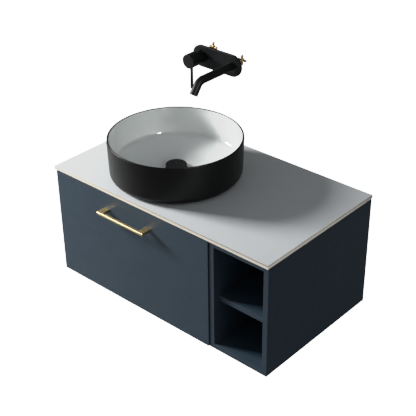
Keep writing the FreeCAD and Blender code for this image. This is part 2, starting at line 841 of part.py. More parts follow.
def slip_nut(neck_end, direction, neck_radius, opening):
    """A cap nut over a neck's end: direction points off the neck, along its pipe."""
    skirt_start = neck_end - direction * (trap_neck - nut_start)
    outer_end = neck_end + direction * nut_lip
    outer = neck_radius + thread_clearance + trap_nut_wall
    shell = rod(outer, skirt_start, outer_end)
    inside = rod(neck_radius + thread_clearance, skirt_start, neck_end + direction * neck_gap)
    return shell.cut(inside).cut(rod(opening, skirt_start, outer_end))


def trap_nuts():
    """The nuts at the waste, at the bottle's neck and at its branch."""
    neck = basin_centre + UP * (trap_top + trap_neck)
    branch = basin_centre + UP * trap_outlet_height + INWARD * (trap_radius + trap_neck)
    waste = basin_centre + UP * (waste_end - pipe_flange)
    return (slip_nut(neck, UP, trap_neck_radius, trap_bore),
            slip_nut(branch, INWARD, trap_neck_radius, trap_bore),
            union_nut(waste))


def union_nut(flange_low):
    """The large nut that pulls the dip pipe's flange against the waste."""
    low = flange_low - UP * nut_lip
    high = flange_low + UP * (pipe_flange + trap_neck)
    outer = waste_radius + thread_clearance + trap_nut_wall
    shell = rod(outer, low, high)
    inside = rod(waste_radius + thread_clearance, flange_low, high)
    return shell.cut(inside).cut(rod(trap_bore, low, high))


def wall_flange():
    """The cover plate where the outlet pipe goes into the wall."""
    return turned([
        (trap_bore, 0, 0),
        (wall_flange_radius, 0, 0),
        (wall_flange_radius, wall_flange_rim, 0.5),
        (trap_bore + wall_flange_neck, wall_flange_depth, 2),
        (trap_bore, wall_flange_depth, 0),
    ], V(basin_offset, 0, trap_outlet_height), -INWARD)


# ---- tap ------------------------------------------------------------------------------
def across_wall(x, y, z):
    """A point on the tap, given across, off the wall's face and above the tap's height."""
    return V(x, y, tap_z + z)


def tap_plate():
    """The long round-ended cover plate, with holes for the sleeve and the spout."""
    ends = [rod(tap_plate_radius, across_wall(x, -tap_plate_depth, 0), across_wall(x, 0, 0))
            for x in (tap_mixer_x, tap_spout_x)]
    middle = block((tap_mixer_x, tap_spout_x), (-tap_plate_depth, 0),
                   (tap_z - tap_plate_radius, tap_z + tap_plate_radius))
    plate = fused(ends + [middle])
    front = [edge for edge in plate.Edges if edge.BoundBox.YMax < -tap_plate_depth + near_edge]
    plate = plate.makeFillet(tap_plate_round, front)
    return without(plate, [
        rod(sleeve_radius - sleeve_step + pipe_clearance, across_wall(tap_mixer_x, -tap_plate_depth - 1, 0),
            across_wall(tap_mixer_x, 1, 0)),
        rod(spout_radius + pipe_clearance, across_wall(tap_spout_x, -tap_plate_depth - 1, 0),
            across_wall(tap_spout_x, 1, 0)),
    ] + tap_stud_rods(stud_radius + screw_clearance, hole_spare))


def tap_stud_rods(radius, spare):
    """The two studs from the plate through the wall panel, or their sockets in the plate."""
    end = clamp_nut_depth + clamp_hub_length / 2 + stud_past_nut
    return [rod(radius, centre - INWARD * (stud_in_plate + spare), centre + INWARD * end)
            for centre in clamp_centres]


def clamp_nut(centre):
    """A cross-shaped hand nut with four knob-ended arms, on its stud behind the wall panel."""
    middle = centre + INWARD * clamp_nut_depth
    front = middle - INWARD * (clamp_hub_length / 2)
    back = middle + INWARD * (clamp_hub_length / 2)
    pieces = [rod(clamp_hub_radius, front, back)]
    knob = clamp_arm - 2 * clamp_tip_radius
    for arm in (RIGHT, UP, -RIGHT, -UP):
        pieces.append(turned([
            (0, 0, 0),
            (clamp_arm_radius, 0, 0),
            (clamp_arm_radius, knob, 0),
            (clamp_tip_radius, knob, 1),
            (clamp_tip_radius, clamp_arm, clamp_tip_round),
            (0, clamp_arm, 0),
        ], middle, arm))
    return fused(pieces).cut(rod(stud_radius + thread_clearance, front, back))


def tap_sleeve():
    """The collar between the plate and the turning handle."""
    back = across_wall(tap_mixer_x, -tap_plate_depth, 0)
    front = back - INWARD * sleeve_length
    neck_end = back + INWARD * sleeve_neck_length
    collar = rod(sleeve_radius, front, back).fuse(rod(sleeve_radius - sleeve_step, back, neck_end))
    bore = rod(tap_cartridge_radius + pipe_clearance, front, neck_end)
    return collar.removeSplitter().cut(bore)


def tap_cartridge():
    """The ceramic-disc cartridge, with the spindle that carries the handle."""
    back = across_wall(tap_mixer_x, tap_body_back, 0)
    front = across_wall(tap_mixer_x, -tap_plate_depth - sleeve_length, 0)
    drum = rod(tap_cartridge_radius, front, back)
    spindle = rod(spindle_radius, front - INWARD * (handle_cap_length / 2), front)
    return drum.fuse(spindle).removeSplitter()


def tap_handle():
    """The turning handle: a round cap on the spindle, bored for the lever."""
    cap = turned([
        (0, 0, 0),
        (handle_cap_radius, 0, 0.5),
        (handle_cap_radius, handle_cap_length, handle_cap_round),
        (0, handle_cap_length, 0),
    ], across_wall(tap_mixer_x, cap_back, 0), -INWARD)
    depth = handle_cap_length / 2 + sleeve_gap + hole_spare
    back = across_wall(tap_mixer_x, cap_back, 0)
    socket = rod(spindle_radius + spindle_clearance, back, back - INWARD * depth)
    return without(cap, [socket, lever_rod(lever_radius + screw_clearance, hole_spare)])


def lever_rod(radius, spare):
    """The lever's straight rod, or the hole that it is screwed into."""
    y = cap_front + lever_from_front
    top = across_wall(tap_mixer_x, y, -handle_cap_radius + lever_bite + spare)
    return rod(radius, top, across_wall(tap_mixer_x, y, -handle_cap_radius - lever_length))


def tap_lever():
    """The thin lever, rounded at its free end."""
    lever = lever_rod(lever_radius, 0)
    low = [edge for edge in lever.Edges if edge.BoundBox.ZMax < lever.BoundBox.ZMin + near_edge]
    return lever.makeFillet(1, low)


def spout_route():
    """The spout's centre line: out from the wall, round a bend, then down to the outlet."""
    start = across_wall(tap_spout_x, tap_body_back, 0)
    corner = across_wall(tap_spout_x, -spout_reach, 0)
    first, middle, last = corner_arc(start, corner, spout_end, spout_bend)
    return Part.Wire([
        Part.makeLine(start, first),
        Part.Arc(first, middle, last).toShape(),
        Part.makeLine(last, spout_end),
    ])


def swept(radius):
    """A round bar along the spout's centre line."""
    start = across_wall(tap_spout_x, tap_body_back, 0)
    section = Part.Wire(Part.makeCircle(radius, start, INWARD))
    return spout_route().makePipeShell([section], True, False)


def spout():
    """The spout's bent tube."""
    return swept(spout_radius).cut(swept(spout_radius - spout_wall))


def aerator():
    """The flow straightener pushed into the spout's end."""
    corner = across_wall(tap_spout_x, -spout_reach, 0)
    along = (spout_end - corner).normalize()
    outer = spout_radius - spout_wall - screw_clearance
    start = spout_end - along * (aerator_length + 1)
    body = rod(outer, start, spout_end - along)
    holes = []
    for turn in range(aerator_holes):
        spoke_place = V(outer * aerator_ring_share, 0, 0)
        spoke_place = FreeCAD.Rotation(UP, 360 / aerator_holes * turn).multVec(spoke_place)
        spoke_place = FreeCAD.Rotation(UP, along).multVec(spoke_place)
        holes.append(rod(aerator_hole_radius, start + spoke_place, spout_end + spoke_place))
    holes.append(rod(aerator_hole_radius, start, spout_end))
    return without(body, holes)


def tap_body():
    """The brass casting in the wall: mixer chamber, spout outlet, bridge and two inlets."""
    chamber_end = tap_body_back + tap_chamber_depth
    outlet_end = tap_body_back + tap_outlet_depth
    bridge_y = tap_body_back + tap_bridge_radius
    inlet_y = tap_body_back + inlet_radius
    solids = [
        rod(tap_chamber_radius, across_wall(tap_mixer_x, tap_body_back, 0),
            across_wall(tap_mixer_x, chamber_end, 0)),
        rod(tap_outlet_radius, across_wall(tap_spout_x, tap_body_back, 0),
            across_wall(tap_spout_x, outlet_end, 0)),
        rod(tap_bridge_radius, across_wall(tap_mixer_x, bridge_y, 0),
            across_wall(tap_spout_x, bridge_y, 0)),
    ]
    holes = []
    for x in (tap_mixer_x - inlet_spacing / 2, tap_mixer_x + inlet_spacing / 2):
        end = across_wall(x, inlet_y, -inlet_drop)
        solids.append(rod(inlet_radius, end, across_wall(x, inlet_y, 0)))
        holes.append(rod(inlet_bore, end, end + UP * inlet_bore_depth))
    return without(fused(solids), holes)


# ---- write every node -----------------------------------------------------------------
os.makedirs("parts", exist_ok=True)

carcass_bores = dowels(dowel_places(), dowel_radius + dowel_clearance, hole_spare)
carcass_bores += screw_holes(cabinet_screw_list())
carcass_bores += shelf_pin_rods(pin_radius + screw_clearance, hole_spare)
for node, shape in list(main_boards().items()) + list(shelf_boards().items()):
    bored = shape if node == "shelf_board" else without(shape, carcass_bores)
    export(node, bored)

export("carcass_dowels", *dowels(dowel_places(), dowel_radius, 0))
export("cabinet_screws", *[screw(*entry) for entry in cabinet_screw_list()])
export("shelf_pins", *shelf_pin_rods(pin_radius, 0))
export("front_bumpers", *bumpers())

export("wall_plates", mirrored(wall_plate()), wall_plate())
export("cabinet_hanger_left", mirrored(hanger_housing()), mirrored(hanger_hook()))
export("cabinet_hanger_right", hanger_housing(), hanger_hook())

drawer_bores = dowels(drawer_dowel_places(), dowel_radius + dowel_clearance, hole_spare)
drawer_bores += screw_holes(drawer_screw_list())
export("drawer_front", without(drawer_front(), drawer_bores))
export("drawer_left_side", without(mirrored(drawer_side()), drawer_bores))
export("drawer_right_side", without(drawer_side(), drawer_bores))
export("drawer_bottom", drawer_bottom())
export("drawer_back", *[without(back, drawer_bores) for back in drawer_backs()])
export("drawer_well", *drawer_well())
export("drawer_dowels", *dowels(drawer_dowel_places(), dowel_radius, 0))
export("drawer_screws", *[screw(*entry) for entry in drawer_screw_list()])
export("handle_bar", handle_bar())
export("handle_feet", *[without(foot, drawer_bores) for foot in handle_feet()])

cabinet_holes = screw_holes(cabinet_screw_list())
drawer_holes = screw_holes(drawer_screw_list())
for place, turn_over in (("right", False), ("left", True)):
    members = [mirrored(member) if turn_over else member for member in runner_members()]
    export("runner_cabinet_member_" + place, without(members[0], cabinet_holes))
    export("runner_middle_member_" + place, members[1])
    export("runner_drawer_member_" + place, without(members[2], drawer_holes))

export("countertop", countertop())
export("basin", basin())
export("basin_sealant", basin_sealant())
export("waste_body", waste_body())
export("waste_gaskets", *waste_gaskets())
export("waste_locknut", waste_locknut())
export("click_cartridge", click_cartridge())
export("popup_cap", popup_cap())

export("trap_inlet_pipe", trap_inlet_pipe())
export("trap_body", trap_body())
export("trap_cup", trap_cup())
export("trap_outlet_pipe", trap_outlet_pipe())
export("trap_nuts", *trap_nuts())
export("wall_flange", wall_flange())

export("tap_plate", tap_plate())
export("tap_sleeve", tap_sleeve())
export("tap_cartridge", tap_cartridge())
export("tap_handle", tap_handle())
export("tap_lever", tap_lever())
export("spout", spout())
export("aerator", aerator())
export("tap_body", tap_body())
export("tap_studs", *tap_stud_rods(stud_radius, 0))
export("tap_clamp_nuts", *[clamp_nut(centre) for centre in clamp_centres])
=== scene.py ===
import json
import math

import bmesh
import bpy
import numpy as np
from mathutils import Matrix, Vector

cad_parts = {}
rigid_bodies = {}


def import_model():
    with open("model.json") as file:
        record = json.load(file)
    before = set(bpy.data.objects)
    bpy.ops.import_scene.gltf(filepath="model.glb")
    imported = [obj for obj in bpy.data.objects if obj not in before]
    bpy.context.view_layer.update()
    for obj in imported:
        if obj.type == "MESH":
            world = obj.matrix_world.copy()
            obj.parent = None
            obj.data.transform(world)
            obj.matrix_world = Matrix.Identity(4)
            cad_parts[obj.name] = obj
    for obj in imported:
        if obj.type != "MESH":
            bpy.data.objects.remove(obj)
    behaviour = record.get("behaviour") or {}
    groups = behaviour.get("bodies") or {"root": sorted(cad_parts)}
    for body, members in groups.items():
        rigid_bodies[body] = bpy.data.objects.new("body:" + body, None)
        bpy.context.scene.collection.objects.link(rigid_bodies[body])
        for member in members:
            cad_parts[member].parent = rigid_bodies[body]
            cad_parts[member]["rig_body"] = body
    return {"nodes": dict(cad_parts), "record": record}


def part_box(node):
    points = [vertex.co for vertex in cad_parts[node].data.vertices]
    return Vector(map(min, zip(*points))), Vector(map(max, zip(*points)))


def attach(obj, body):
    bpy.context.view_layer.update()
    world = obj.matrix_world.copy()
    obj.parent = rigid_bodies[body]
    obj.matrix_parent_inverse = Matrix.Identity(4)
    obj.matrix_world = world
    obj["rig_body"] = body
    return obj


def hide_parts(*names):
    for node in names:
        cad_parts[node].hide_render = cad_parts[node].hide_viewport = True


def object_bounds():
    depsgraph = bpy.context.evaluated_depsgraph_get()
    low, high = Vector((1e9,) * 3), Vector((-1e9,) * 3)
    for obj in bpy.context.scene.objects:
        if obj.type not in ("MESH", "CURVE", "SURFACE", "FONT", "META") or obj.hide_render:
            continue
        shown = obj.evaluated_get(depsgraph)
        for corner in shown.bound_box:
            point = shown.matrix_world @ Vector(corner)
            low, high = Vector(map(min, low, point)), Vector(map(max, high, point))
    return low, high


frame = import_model()
cad_low, cad_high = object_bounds()
scene = bpy.context.scene


# ---- Camera ---------------------------------------------------------------------------
# The washstand is seen from its right front corner and from above through a long lens, so
# that the drawer, the open shelves, the top and the inside of the basin all show.
camera = bpy.data.objects.new("camera", bpy.data.cameras.new("camera"))
camera.location = (1.7447, -2.0585, 1.4532)
camera.rotation_euler = [math.radians(angle) for angle in (59.003, 0.621, 41.702)]
camera.data.lens = 85.45
scene.collection.objects.link(camera)
scene.camera = camera


# ---- Studio ---------------------------------------------------------------------------
# One large soft lamp on the left throws the basin's shadow across the top, and a weak one on
# the right keeps the side readable. A window lamp shows only as a glint in the glaze.
# Highlights roll off softly: brightness runs straight to the last straight point, then bends
# over until the brightest value that is still told apart from white.
brightest = 2.2
last_straight = 0.74
shoulder = (1.35, 0.83)
scene.view_settings.view_transform = "Standard"
scene.view_settings.use_curve_mapping = True
tones = scene.view_settings.curve_mapping
tones.white_level = [brightest] * 3
for bright, shown in ((last_straight, last_straight), shoulder):
    tones.curves[3].points.new(bright / brightest, shown).handle_type = "VECTOR"
tones.update()


def soft_lamp(name, bearing, height, distance, size, power):
    """A square lamp that faces the basin: bearing and height are degrees from the front."""
    data = bpy.data.lights.new(name, "AREA")
    data.size = size
    data.energy = power
    lamp = bpy.data.objects.new(name, data)
    turn, rise = math.radians(bearing), math.radians(height)
    away = Vector((math.sin(turn) * math.cos(rise), -math.cos(turn) * math.cos(rise), math.sin(rise)))
    near_basin = Vector((0.1, -0.25, 0.1))
    lamp.location = near_basin + away * distance
    lamp.rotation_euler = (-away).to_track_quat("-Z", "Y").to_euler()
    scene.collection.objects.link(lamp)
    return lamp


soft_lamp("key_lamp", bearing=-67, height=22, distance=3.2, size=0.75, power=171)
soft_lamp("fill_lamp", bearing=75, height=12, distance=3.5, size=2.0, power=3.5)
window = soft_lamp("window_lamp", bearing=75, height=32, distance=3.0, size=0.4, power=60)
window.visible_diffuse = False

world = bpy.data.worlds.new("studio_air")
world.use_nodes = True
scene.world = world
air = world.node_tree
air.nodes["Background"].inputs["Color"].default_value = (0.93, 0.97, 1.0, 1)
air.nodes["Background"].inputs["Strength"].default_value = 0.16
backdrop = air.nodes.new("ShaderNodeBackground")
backdrop.inputs["Color"].default_value = (1, 1, 1, 1)
backdrop.inputs["Strength"].default_value = 1.1 * brightest
seen = air.nodes.new("ShaderNodeLightPath")
choose = air.nodes.new("ShaderNodeMixShader")
air.links.new(seen.outputs["Is Camera Ray"], choose.inputs["Fac"])
air.links.new(air.nodes["Background"].outputs["Background"], choose.inputs[1])
air.links.new(backdrop.outputs["Background"], choose.inputs[2])
air.links.new(choose.outputs["Shader"], air.nodes["World Output"].inputs["Surface"])

floor_drop = 0.5
floor_reach = 30.0
floor_height = cad_low.z - floor_drop
floor_mesh = bpy.data.meshes.new("floor")
floor_mesh.from_pydata(
    [(x * floor_reach, y * floor_reach, floor_height) for x, y in ((-1, -1), (1, -1), (1, 1), (-1, 1))],
    [], [(0, 1, 2, 3)])
floor = bpy.data.objects.new("floor", floor_mesh)
scene.collection.objects.link(floor)
pale = bpy.data.materials.new("pale_floor")
pale.use_nodes = True
pale_nodes, pale_links = pale.node_tree.nodes, pale.node_tree.links
pale_nodes["Principled BSDF"].inputs["Base Color"].default_value = (0.35, 0.35, 0.35, 1)
white = pale_nodes.new("ShaderNodeEmission")
white.inputs["Strength"].default_value = 1.1 * brightest
floor_seen = pale_nodes.new("ShaderNodeLightPath")
floor_mix = pale_nodes.new("ShaderNodeMixShader")
pale_links.new(floor_seen.outputs["Is Camera Ray"], floor_mix.inputs["Fac"])
pale_links.new(pale_nodes["Principled BSDF"].outputs["BSDF"], floor_mix.inputs[1])
pale_links.new(white.outputs["Emission"], floor_mix.inputs[2])
pale_links.new(floor_mix.outputs["Shader"], pale_nodes["Material Output"].inputs["Surface"])
floor_mesh.materials.append(pale)


# ---- Lacquered boards -----------------------------------------------------------------
# Both carcasses and the drawer's face are MDF boards sprayed with a matt blue-grey lacquer.
# The spray leaves a faint orange peel and a slightly uneven sheen.
def finish(name, **constants):
    """A material with one Principled shader, whose sockets are set by name: Base_Color, ..."""
    material = bpy.data.materials.new(name)
    material.use_nodes = True
    shader = material.node_tree.nodes["Principled BSDF"]
    for socket, value in constants.items():
        shader.inputs[socket.replace("_", " ")].default_value = value
    return material.node_tree, shader, material


def add(tree, kind, inputs=None, **settings):
    """One shader node; inputs maps its sockets to constants or to other nodes' outputs."""
    made = tree.nodes.new(kind)
    for setting, value in settings.items():
        setattr(made, setting, value)
    for socket, value in (inputs or {}).items():
        if isinstance(value, bpy.types.NodeSocket):
            tree.links.new(value, made.inputs[socket])
        else:
            made.inputs[socket].default_value = value
    return made


def shader_group(name, inputs, outputs):
    """An empty node group with named sockets, each given as (name, kind, default)."""
    group = bpy.data.node_groups.new(name, "ShaderNodeTree")
    for socket, kind, default in inputs:
        made = group.interface.new_socket(socket, in_out="INPUT", socket_type=kind)
        if default is not None:
            made.default_value = default
    for socket, kind in outputs:
        group.interface.new_socket(socket, in_out="OUTPUT", socket_type=kind)
    return group, group.nodes.new("NodeGroupInput").outputs, group.nodes.new("NodeGroupOutput")


# Mottling: cloudy noise, spread between a low and a high value.
mottle, given, result = shader_group(
    "mottle",
    [("Vector", "NodeSocketVector", None), ("Scale", "NodeSocketFloat", 10.0),
     ("Low", "NodeSocketFloat", 0.0), ("High", "NodeSocketFloat", 1.0)],
    [("Value", "NodeSocketFloat")])
cloud = add(mottle, "ShaderNodeTexNoise",
            {"Vector": given["Vector"], "Scale": given["Scale"], "Detail": 4.0, "Roughness": 0.55})
spread = add(mottle, "ShaderNodeMapRange",
             {"Value": cloud.outputs["Fac"], "From Min": 0.3, "From Max": 0.7,
              "To Min": given["Low"], "To Max": given["High"]})
mottle.links.new(spread.outputs["Result"], result.inputs["Value"])

# Peel: the fine waviness of a sprayed, cast or glazed surface, as a bent normal.
peel, given, result = shader_group(
    "peel",
    [("Vector", "NodeSocketVector", None), ("Scale", "NodeSocketFloat", 400.0),
     ("Depth", "NodeSocketFloat", 0.0001)],
    [("Normal", "NodeSocketVector")])
ripple = add(peel, "ShaderNodeTexNoise",
             {"Vector": given["Vector"], "Scale": given["Scale"], "Detail": 2.0})
bend = add(peel, "ShaderNodeBump",
           {"Height": ripple.outputs["Fac"], "Distance": given["Depth"], "Strength": 1.0})
peel.links.new(bend.outputs["Normal"], result.inputs["Normal"])


def use(tree, group, **inputs):
    """A shared group placed in a material, with its own values."""
    return add(tree, "ShaderNodeGroup", inputs, node_tree=group)


def shade(tree, dark, light, factor):
    """A colour between a dark and a light one, by a mask."""
    mix = add(tree, "ShaderNodeMix", {"Factor": factor}, data_type="RGBA")
    mix.inputs[6].default_value = (*dark, 1)
    mix.inputs[7].default_value = (*light, 1)
    return mix.outputs[2]


def lacquer(name, dark, light, roughness):
    """Sprayed lacquer: cloudy colour, cloudy sheen and orange peel."""
    tree, shader, material = finish(name, Specular_IOR_Level=0.25)
    place = add(tree, "ShaderNodeTexCoord").outputs["Object"]
    cloudy = use(tree, mottle, Vector=place, Scale=9.0).outputs["Value"]
    tree.links.new(shade(tree, dark, light, cloudy), shader.inputs["Base Color"])
    sheen = use(tree, mottle, Vector=place, Scale=60.0, Low=roughness - 0.04, High=roughness + 0.05)
    tree.links.new(sheen.outputs["Value"], shader.inputs["Roughness"])
    skin = use(tree, peel, Vector=place, Scale=700.0, Depth=0.00003)
    tree.links.new(skin.outputs["Normal"], shader.inputs["Normal"])
    return material


def paint(nodes, material):
    """Give CAD nodes a material in place of their plain one."""
    for name in nodes:
        frame["nodes"][name].data.materials.clear()
        frame["nodes"][name].data.materials.append(material)


blue_grey = lacquer("blue_grey_lacquer", (0.035, 0.059, 0.084), (0.040, 0.066, 0.092), 0.48)
paint([name for name in frame["nodes"] if name.startswith(("drawer_unit_", "shelf_"))], blue_grey)
paint(["drawer_front"], blue_grey)


# ---- Drawer box -----------------------------------------------------------------------
# The box is chipboard under a grey laminate with a pressed linen weave. Its boards are
# doweled together round a well that leaves room for the trap.
def linen_laminate():
    """Grey laminate: two crossed sets of fine threads, in colour and in relief."""
    tree, shader, material = finish("linen_laminate", Roughness=0.5)
    place = add(tree, "ShaderNodeTexCoord").outputs["Object"]
    threads = []
    for stretch in ((40, 900, 900), (900, 900, 40)):
        pulled = add(tree, "ShaderNodeVectorMath", {0: place, 1: stretch}, operation="MULTIPLY")
        threads.append(add(tree, "ShaderNodeTexNoise", {"Vector": pulled.outputs[0], "Scale": 1.0}))
    weave = add(tree, "ShaderNodeMath",
                {0: threads[0].outputs["Fac"], 1: threads[1].outputs["Fac"]}, operation="MULTIPLY")
    tone = add(tree, "ShaderNodeMapRange",
               {"Value": weave.outputs[0], "From Min": 0.12, "From Max": 0.4})
    tree.links.new(shade(tree, (0.10, 0.105, 0.11), (0.17, 0.175, 0.18), tone.outputs["Result"]),
                   shader.inputs["Base Color"])
    relief = add(tree, "ShaderNodeBump", {"Height": weave.outputs[0], "Distance": 0.0001})
    tree.links.new(relief.outputs["Normal"], shader.inputs["Normal"])
    return material


paint(["drawer_left_side", "drawer_right_side", "drawer_bottom", "drawer_back", "drawer_well"],
      linen_laminate())


# ---- Wooden dowels --------------------------------------------------------------------
# Short beech dowels locate every board. They are hidden once the carcass is together.
def beech():
    """Beech: pale wood with short darker flecks along the dowel."""
    tree, shader, material = finish("beech", Roughness=0.6)
    place = add(tree, "ShaderNodeTexCoord").outputs["Object"]
    pulled = add(tree, "ShaderNodeVectorMath", {0: place, 1: (80, 700, 700)}, operation="MULTIPLY")
    fleck = use(tree, mottle, Vector=pulled.outputs[0], Scale=1.0).outputs["Value"]
    tree.links.new(shade(tree, (0.42, 0.25, 0.13), (0.60, 0.40, 0.23), fleck), shader.inputs["Base Color"])
    return material


paint(["carcass_dowels", "drawer_dowels"], beech())


# ---- Steel hardware -------------------------------------------------------------------
# Runners, hangers, wall plates, screws, pins and studs are zinc-plated steel. Round pieces
# are copied from their nodes with the triangles joined, so that they shade as one surface.
def smooth_copy(node, material, sharp=35):
    """A piece with a node's own shape, joined up and smooth except at its real edges."""
    source = frame["nodes"][node]
    mesh = bpy.data.meshes.new(node + "_skin")
    shape = bmesh.new()
    shape.from_mesh(source.data)
    bmesh.ops.remove_doubles(shape, verts=shape.verts, dist=1e-6)
    shape.to_mesh(mesh)
    shape.free()
    mesh.shade_smooth()
    mesh.set_sharp_from_angle(angle=math.radians(sharp))
    mesh.materials.clear()
    mesh.materials.append(material)
    piece = bpy.data.objects.new(node + "_skin", mesh)
    scene.collection.objects.link(piece)
    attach(piece, source["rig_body"])
    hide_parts(node)
    return piece


def zinc():
    """Zinc plate: a bright metal with a crystal mottle and small differences in sheen."""
    tree, shader, material = finish("zinc_plate", Metallic=1.0)
    place = add(tree, "ShaderNodeTexCoord").outputs["Object"]
    crystals = add(tree, "ShaderNodeTexVoronoi", {"Vector": place, "Scale": 180.0})
    tree.links.new(shade(tree, (0.42, 0.43, 0.44), (0.56, 0.57, 0.58), crystals.outputs["Color"]),
                   shader.inputs["Base Color"])
    sheen = use(tree, mottle, Vector=place, Scale=90.0, Low=0.3, High=0.48)
    tree.links.new(sheen.outputs["Value"], shader.inputs["Roughness"])
    return material


zinc_plate = zinc()
for steel in [entry["node"] for entry in frame["record"]["subparts"]
              if entry["material_slot"] == "steel"]:
    smooth_copy(steel, zinc_plate)


# ---- Handle ---------------------------------------------------------------------------
# A square brass bar on two broad feet, brushed along its length and satin lacquered. A strip
# lamp that only the handle reflects draws the bright line along its bar.
brush, given, result = shader_group(
    "brush",
    [("Vector", "NodeSocketVector", None), ("Stretch", "NodeSocketVector", (1.0, 1.0, 1.0)),
     ("Depth", "NodeSocketFloat", 0.000001)],
    [("Value", "NodeSocketFloat"), ("Normal", "NodeSocketVector")])
pulled = add(brush, "ShaderNodeVectorMath",
             {0: given["Vector"], 1: given["Stretch"]}, operation="MULTIPLY")
strokes = add(brush, "ShaderNodeTexNoise", {"Vector": pulled.outputs[0], "Scale": 1.0, "Detail": 3.0})
scratch = add(brush, "ShaderNodeBump", {"Height": strokes.outputs["Fac"], "Distance": given["Depth"]})
brush.links.new(strokes.outputs["Fac"], result.inputs["Value"])
brush.links.new(scratch.outputs["Normal"], result.inputs["Normal"])


def brass(name, dark, light, stretch, roughness):
    """Brushed brass: fine strokes in colour, sheen and relief."""
    tree, shader, material = finish(name, Metallic=1.0)
    place = add(tree, "ShaderNodeTexCoord").outputs["Object"]
    stroked = use(tree, brush, Vector=place, Stretch=stretch)
    tone = add(tree, "ShaderNodeMapRange",
               {"Value": stroked.outputs["Value"], "From Min": 0.3, "From Max": 0.7})
    tree.links.new(shade(tree, dark, light, tone.outputs["Result"]), shader.inputs["Base Color"])
    sheen = add(tree, "ShaderNodeMapRange",
                {"Value": stroked.outputs["Value"], "From Min": 0.3, "From Max": 0.7,
                 "To Min": roughness - 0.03, "To Max": roughness + 0.04})
    tree.links.new(sheen.outputs["Result"], shader.inputs["Roughness"])
    tree.links.new(stroked.outputs["Normal"], shader.inputs["Normal"])
    return material


satin_brass = brass("satin_brass", (0.70, 0.51, 0.22), (0.78, 0.59, 0.29), (30, 2500, 2500), 0.3)
handle_lit = bpy.data.collections.new("handle_lit")
for node in ("handle_bar", "handle_feet"):
    piece = smooth_copy(node, satin_brass)
    even = piece.modifiers.new("even_normals", "WEIGHTED_NORMAL")
    even.weight = 100
    even.keep_sharp = True
    handle_lit.objects.link(piece)
strip = soft_lamp("strip_lamp", bearing=-44, height=20, distance=3.0, size=1.5, power=60)
strip.data.shape = "RECTANGLE"
strip.data.size_y = 0.3
strip.visible_diffuse = False
strip.light_linking.receiver_collection = handle_lit


# ---- Top ------------------------------------------------------------------------------
# The thin top has a matt white wear layer on a cream core, which shows on the bevel and
# on the edges. The bevel is coloured darker than the core: painted shade. A low lamp
# that lights only the top brings out its right edge.
def stone_top():
    """White above, cream below a thin face layer, a darker bevel of painted shade between, with fine
    mineral specks all over.
    """
    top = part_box("countertop")[1].z
    tree, shader, material = finish("stone_top", Specular_IOR_Level=0.35)
    place = add(tree, "ShaderNodeTexCoord").outputs["Object"]
    height = add(tree, "ShaderNodeSeparateXYZ", {"Vector": place}).outputs["Z"]
    face = add(tree, "ShaderNodeMapRange",
               {"Value": height, "From Min": top - 0.0005, "From Max": top - 0.0002}).outputs["Result"]
    # Band of the bevel: it gets a darker colour all round, painted shade as if it were turned away from
    # the key lamp.
    bevel_shade_mask = add(tree, "ShaderNodeMapRange",
                {"Value": height, "From Min": top - 0.0019, "From Max": top - 0.0015}).outputs["Result"]
    specks = use(tree, mottle, Vector=place, Scale=1800.0).outputs["Value"]
    clouds = use(tree, mottle, Vector=place, Scale=14.0).outputs["Value"]
    grain = add(tree, "ShaderNodeMath", {0: specks, 1: clouds}, operation="MULTIPLY").outputs[0]
    core_and_bevel_shade = add(tree, "ShaderNodeMix", {"Factor": bevel_shade_mask}, data_type="RGBA")
    tree.links.new(shade(tree, (0.88, 0.81, 0.70), (0.93, 0.87, 0.77), grain), core_and_bevel_shade.inputs[6])
    # The darker brown of the bevel: painted shade.
    tree.links.new(shade(tree, (0.55, 0.46, 0.34), (0.63, 0.54, 0.41), grain), core_and_bevel_shade.inputs[7])
    whole = add(tree, "ShaderNodeMix", {"Factor": face}, data_type="RGBA")
    tree.links.new(core_and_bevel_shade.outputs[2], whole.inputs[6])
    tree.links.new(shade(tree, (0.76, 0.79, 0.80), (0.82, 0.85, 0.86), grain), whole.inputs[7])
    tree.links.new(whole.outputs[2], shader.inputs["Base Color"])
    sheen = use(tree, mottle, Vector=place, Scale=35.0, Low=0.5, High=0.62)
    tree.links.new(sheen.outputs["Value"], shader.inputs["Roughness"])
    skin = use(tree, peel, Vector=place, Scale=1500.0, Depth=0.00002)
    tree.links.new(skin.outputs["Normal"], shader.inputs["Normal"])
    return material


top_lit = bpy.data.collections.new("top_lit")
top_lit.objects.link(smooth_copy("countertop", stone_top()))
edge_lamp = soft_lamp("edge_lamp", bearing=70, height=2, distance=3.2, size=0.6, power=18)
edge_lamp.light_linking.receiver_collection = top_lit


# ---- Basin ----------------------------------------------------------------------------
# A turned vessel of fired clay, satin black outside and over the rim, gloss white inside.
# The wall leans out a little, and the floor falls gently to the waste.
def rounded_profile(corners, steps=8):
    """Points along straight runs with circular arcs at corners given as (radius, height, round).

    An arc of radius r at a corner starts r / tan(half angle) before it, and its centre is on
    the bisector, r / sin(half angle) from the corner.
    """
    spots = np.array([corner[:2] for corner in corners], float)
    points = []
    for index, (_, _, rounding) in enumerate(corners):
        here = spots[index]
        back = spots[index - 1] - here
        ahead = spots[(index + 1) % len(spots)] - here
        back, ahead = back / np.linalg.norm(back), ahead / np.linalg.norm(ahead)
        if rounding == 0:
            points.append(here[None])
            continue
        half = np.arccos(np.clip(back @ ahead, -1, 1)) / 2
        middle = (back + ahead) / np.linalg.norm(back + ahead)
        centre = here + middle * rounding / np.sin(half)
        first = here + back * rounding / np.tan(half) - centre
        last = here + ahead * rounding / np.tan(half) - centre
        share = np.linspace(0, 1, steps + 1)[:, None]
        sweep = np.arccos(np.clip(first @ last / rounding**2, -1, 1))
        arc = (np.sin((1 - share) * sweep) * first + np.sin(share * sweep) * last) / np.sin(sweep)
        points.append(centre + arc)
    return np.concatenate(points)


